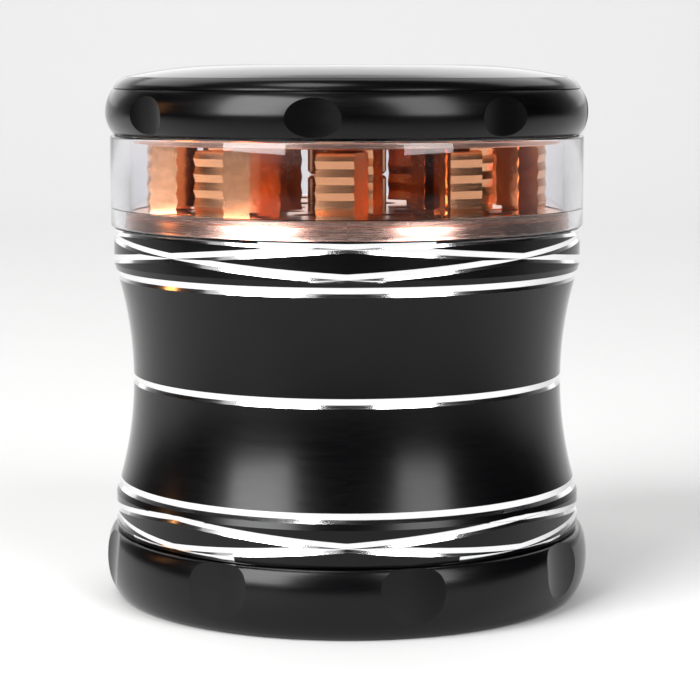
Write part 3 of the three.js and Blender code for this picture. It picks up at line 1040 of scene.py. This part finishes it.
def make_window_ring():
    round_edge = 0.35
    counterbore = FLANGE_RADIUS + 0.1
    ledge = CHAMBER_FLOOR + 0.05
    outer = WINDOW_RADIUS - round_edge
    edge = (round_edge, round_edge)
    outline = [
        (counterbore, WINDOW_BOTTOM),
        *arc((outer, WINDOW_BOTTOM + round_edge), edge, -90, 0, 6),
        *arc((outer, WINDOW_TOP - round_edge), edge, 0, 90, 6),
        (WINDOW_BORE + 0.15, WINDOW_TOP),
        (WINDOW_BORE, WINDOW_TOP - 0.15),
        (WINDOW_BORE, ledge + 0.1),
        (WINDOW_BORE + 0.1, ledge),
        (counterbore, ledge),
    ]
    piece = turned("Window_Ring", outline)
    finish_piece(piece, "chamber", "window_ring", [acrylic], edge_angle=40)


make_window_ring()

# %% [markdown]
# ## Lid
# The cap's side is two arcs that meet at the widest point, with a fine turned line above them, a small
# shoulder, and a top that stays flat in the middle and falls away in one long arc.

# %% Lid cap
def make_lid_cap():
    belly = 63.75
    lower_radius, upper_radius = 4.31, 4.97
    seam, seam_depth, seam_half = 66.8, 0.15, 0.09
    crown_edge = (29.3, 68.3)
    crown_flat = 15.0
    edge_round = 0.12
    recess, cavity, cavity_top = 28.4, 26.5, 67.0
    ring_outer = span("lid_friction_ring")[2]
    groove_inner, groove_outer, groove_top = 28.95, ring_outer + 0.05, LID_BOTTOM + 0.5
    fall = LID_TOP - crown_edge[1]
    reach = crown_edge[0] - crown_flat
    crown_radius = (reach**2 + fall**2) / (2 * fall)
    low = -math.degrees(math.asin((belly - LID_BOTTOM) / lower_radius))
    high = math.degrees(math.asin((seam - seam_half - belly) / upper_radius))
    lower = arc((LID_RIM_RADIUS - lower_radius, belly), (lower_radius, lower_radius), low, 0, 20)
    upper = arc((LID_RIM_RADIUS - upper_radius, belly), (upper_radius, upper_radius), 0, high, 20)
    seam_radius = upper[-1][0]
    shoulder_end = (crown_edge[0] + edge_round * 0.7, crown_edge[1] - edge_round * 0.8)
    crown_start = (crown_edge[0] - edge_round, crown_edge[1] + edge_round * 0.3)
    outline = [
        (0, cavity_top),
        (cavity, cavity_top),
        (cavity, LID_PLATE_TOP + 0.05),
        (recess, LID_PLATE_TOP + 0.05),
        (recess, LID_BOTTOM),
        (groove_inner, LID_BOTTOM),
        (groove_inner, groove_top),
        (groove_outer, groove_top),
        (groove_outer, LID_BOTTOM),
        (lower[0][0] - 0.1, LID_BOTTOM),
        *[point for point in lower if point[1] > LID_BOTTOM + 0.08],
        *upper[1:],
        (seam_radius - seam_depth, seam),
        *arc_between((seam_radius - 0.08, seam + seam_half), shoulder_end, 3.0, 14),
        *arc_between(crown_start, (crown_flat, LID_TOP), crown_radius, 40),
        (0, LID_TOP),
    ]
    piece = turned("Lid_Cap", outline)
    tools = scallop_cutters(first_angle=-7.4, wall_radius=31.05, centre_height=63.9, lean=2.5, radius=12.6)
    combine(piece, tools, "DIFFERENCE")
    finish_piece(piece, "lid", "lid_cap", [black])


make_lid_cap()

# %% [markdown]
# The lid's plate is the chamber plate's partner: two rows of hanging teeth that pass between the
# standing ones with 0.7 mm to spare, and a hub whose magnet meets the magnet below.

# %% Lid tooth plate
def make_lid_tooth_plate():
    plate_bottom = 59.75
    edge = 0.12
    outline = [
        (0, plate_bottom),
        (LID_PLATE_RADIUS - edge, plate_bottom),
        (LID_PLATE_RADIUS, plate_bottom + edge),
        (LID_PLATE_RADIUS, LID_PLATE_TOP),
        (0, LID_PLATE_TOP),
    ]
    piece = turned("Lid_Tooth_Plate", outline)
    root = plate_bottom + TOOTH_ROOT
    hub_bottom = HUB_GAP + HUB_CLEARANCE
    combine(piece, teeth(LID_ROWS, LID_TOOTH_TIP, root, False), "UNION")
    combine(piece, hub(hub_bottom, root, False), "UNION")
    combine(piece, magnet_pocket(hub_bottom - 1, hub_bottom + POCKET_DEPTH), "DIFFERENCE")
    finish_piece(piece, "lid", "lid_tooth_plate", [brushed_copper, copper], on_rim)


make_lid_tooth_plate()

# %% [markdown]
# A thin nylon ring in a groove under the cap keeps metal off acrylic when the lid is turned. In the
# model it is alone on the body that only lifts. It stands for the carrier of the lid's lift, and the
# lid spins on it.

# %% Friction ring
def make_friction_ring():
    bottom, top, outer = span("lid_friction_ring")
    inner, edge = 29.0, 0.1
    outline = [
        (inner + edge, bottom),
        (outer - edge, bottom),
        (outer, bottom + edge),
        (outer, top - edge),
        (outer - edge, top),
        (inner + edge, top),
        (inner, top - edge),
        (inner, bottom + edge),
    ]
    piece = turned("Lid_Friction_Ring", outline)
    finish_piece(piece, "lid_lifter", "lid_friction_ring", [nylon])


make_friction_ring()

# %% [markdown]
# ## Studio
# The grinder stands on a white sweep: a floor that curves up into a wall, so that there is no corner
# behind it. Satin black shows only what it mirrors, and it would mirror an all-white floor as grey. So
# shade is painted into the paper's colour: white under and behind the grinder, and painted dark towards
# the front, where it stands in for the unlit studio on the camera's side.

# %% Floor and backdrop
def make_paper_with_painted_shade():
    dark_until, white_from = -0.345, -0.07
    paper = bpy.data.materials.new("paper with painted front shade")
    paper.use_nodes = True
    tree = paper.node_tree
    shader = tree.nodes["Principled BSDF"]
    split = tree.nodes.new("ShaderNodeSeparateXYZ")
    tree.links.new(tree.nodes.new("ShaderNodeTexCoord").outputs["Object"], split.inputs[0])
    # Painted shade: the paper's colour goes from white to dark towards the front, and the dark zone
    # narrows at the sides. It stands in for the unlit studio in front of the grinder.
    aside = math_node(tree, "MINIMUM", math_node(tree, "ABSOLUTE", split.outputs["X"]), 0.5)
    place = math_node(tree, "SUBTRACT", split.outputs["Y"], math_node(tree, "MULTIPLY", aside, 0.35))
    pale = math_node(tree, "POWER", ramp_node(tree, place, dark_until, white_from), 1.8)
    tree.links.new(mix_colours(tree, pale, (0.05,) * 3, (0.62,) * 3), shader.inputs["Base Color"])
    shader.inputs["Roughness"].default_value = 0.7
    shader.inputs["Specular IOR Level"].default_value = 0.2
    return paper


def make_sweep():
    floor_front, bend_start, bend_radius, wall_top, half_width = -2.5, 0.7, 0.5, 1.6, 5.0
    bend = arc((bend_start, bend_radius), (bend_radius, bend_radius), -90, 0, 24)
    profile = [(floor_front, 0.0), *bend, (bend_start + bend_radius, wall_top)]
    points = [(x, y, z) for y, z in profile for x in (-half_width, half_width)]
    faces = [(2 * i, 2 * i + 1, 2 * i + 3, 2 * i + 2) for i in range(len(profile) - 1)]
    mesh = bpy.data.meshes.new("Sweep")
    mesh.from_pydata(points, [], faces)
    for polygon in mesh.polygons:
        polygon.use_smooth = True
    sweep = bpy.data.objects.new("Sweep", mesh)
    bpy.context.scene.collection.objects.link(sweep)
    mesh.materials.append(make_paper_with_painted_shade())
    print("floor and wall:", len(faces), "strips")


make_sweep()

# %% [markdown]
# The light is built for its reflections. Two tall panels in front draw one highlight each on the black
# skin, and a large weak panel behind the left one softens that highlight's edge. A smaller panel
# overhead lights what looks straight up, and a small warm one stands at the left. Behind the grinder,
# one panel lights the sweep, and a low one is mirrored by the lid's top.

# %% Lights
def panel(name, place, aim, width, height, power, colour=(1, 1, 1)):
    light = bpy.data.lights.new(name, "AREA")
    light.shape = "RECTANGLE"
    light.size, light.size_y = width, height
    light.energy = power
    light.color = colour
    lamp = bpy.data.objects.new(name, light)
    lamp.location = place
    lamp.rotation_euler = (Vector(aim) - Vector(place)).to_track_quat("-Z", "Y").to_euler()
    bpy.context.scene.collection.objects.link(lamp)


panel("Left_Panel", (-0.49, -0.51, 0.43), (0, 0, 0.06), 0.48, 0.72, 12.0)
panel("Left_Spill", (-0.55, -0.53, 0.46), (0, 0, 0.06), 0.90, 0.84, 1.1)
panel("Right_Panel", (0.44, -0.56, 0.43), (0, 0, 0.06), 0.37, 0.72, 6.2)
panel("Overhead_Panel", (-0.19, -0.14, 0.94), (0, 0, 0.06), 0.30, 0.26, 1.7)
panel("Warm_Panel", (-0.50, 0.06, 0.17), (0, 0, 0.04), 0.07, 0.16, 0.10, (1.0, 0.42, 0.12))
panel("Back_Panel", (0, 0.72, 0.78), (0, 0.52, 0.03), 1.8, 0.8, 7.8)
panel("Horizon_Panel", (0, 1.035, 0.315), (0, 0, 0.10), 1.8, 0.36, 1.3)

world = bpy.data.worlds.new("Studio")
world.use_nodes = True
world.node_tree.nodes["Background"].inputs["Color"].default_value = (0.006, 0.006, 0.0065, 1)
world.node_tree.nodes["Background"].inputs["Strength"].default_value = 1.0
bpy.context.scene.world = world
bpy.context.scene.view_settings.view_transform = "Standard"

# %% [markdown]
# The camera stands as high as the lid and looks 7 degrees down through a long lens, so the circles of
# the rim open only a little. It stands close, about 30 cm away, which makes the far side look smaller.

# %% Camera
CAMERA_DISTANCE, CAMERA_HEIGHT, LOOK_DOWN = 0.30642, 0.07028, 7.102
lens = bpy.data.cameras.new("Camera")
lens.lens = 119.06
lens.sensor_width = 36.0
lens.shift_x = 0.0043
lens.clip_start, lens.clip_end = 0.01, 10
camera = bpy.data.objects.new("Camera", lens)
camera.location = (0, -CAMERA_DISTANCE, CAMERA_HEIGHT)
camera.rotation_euler = (math.radians(90 - LOOK_DOWN), 0, 0)
bpy.context.scene.collection.objects.link(camera)
bpy.context.scene.camera = camera
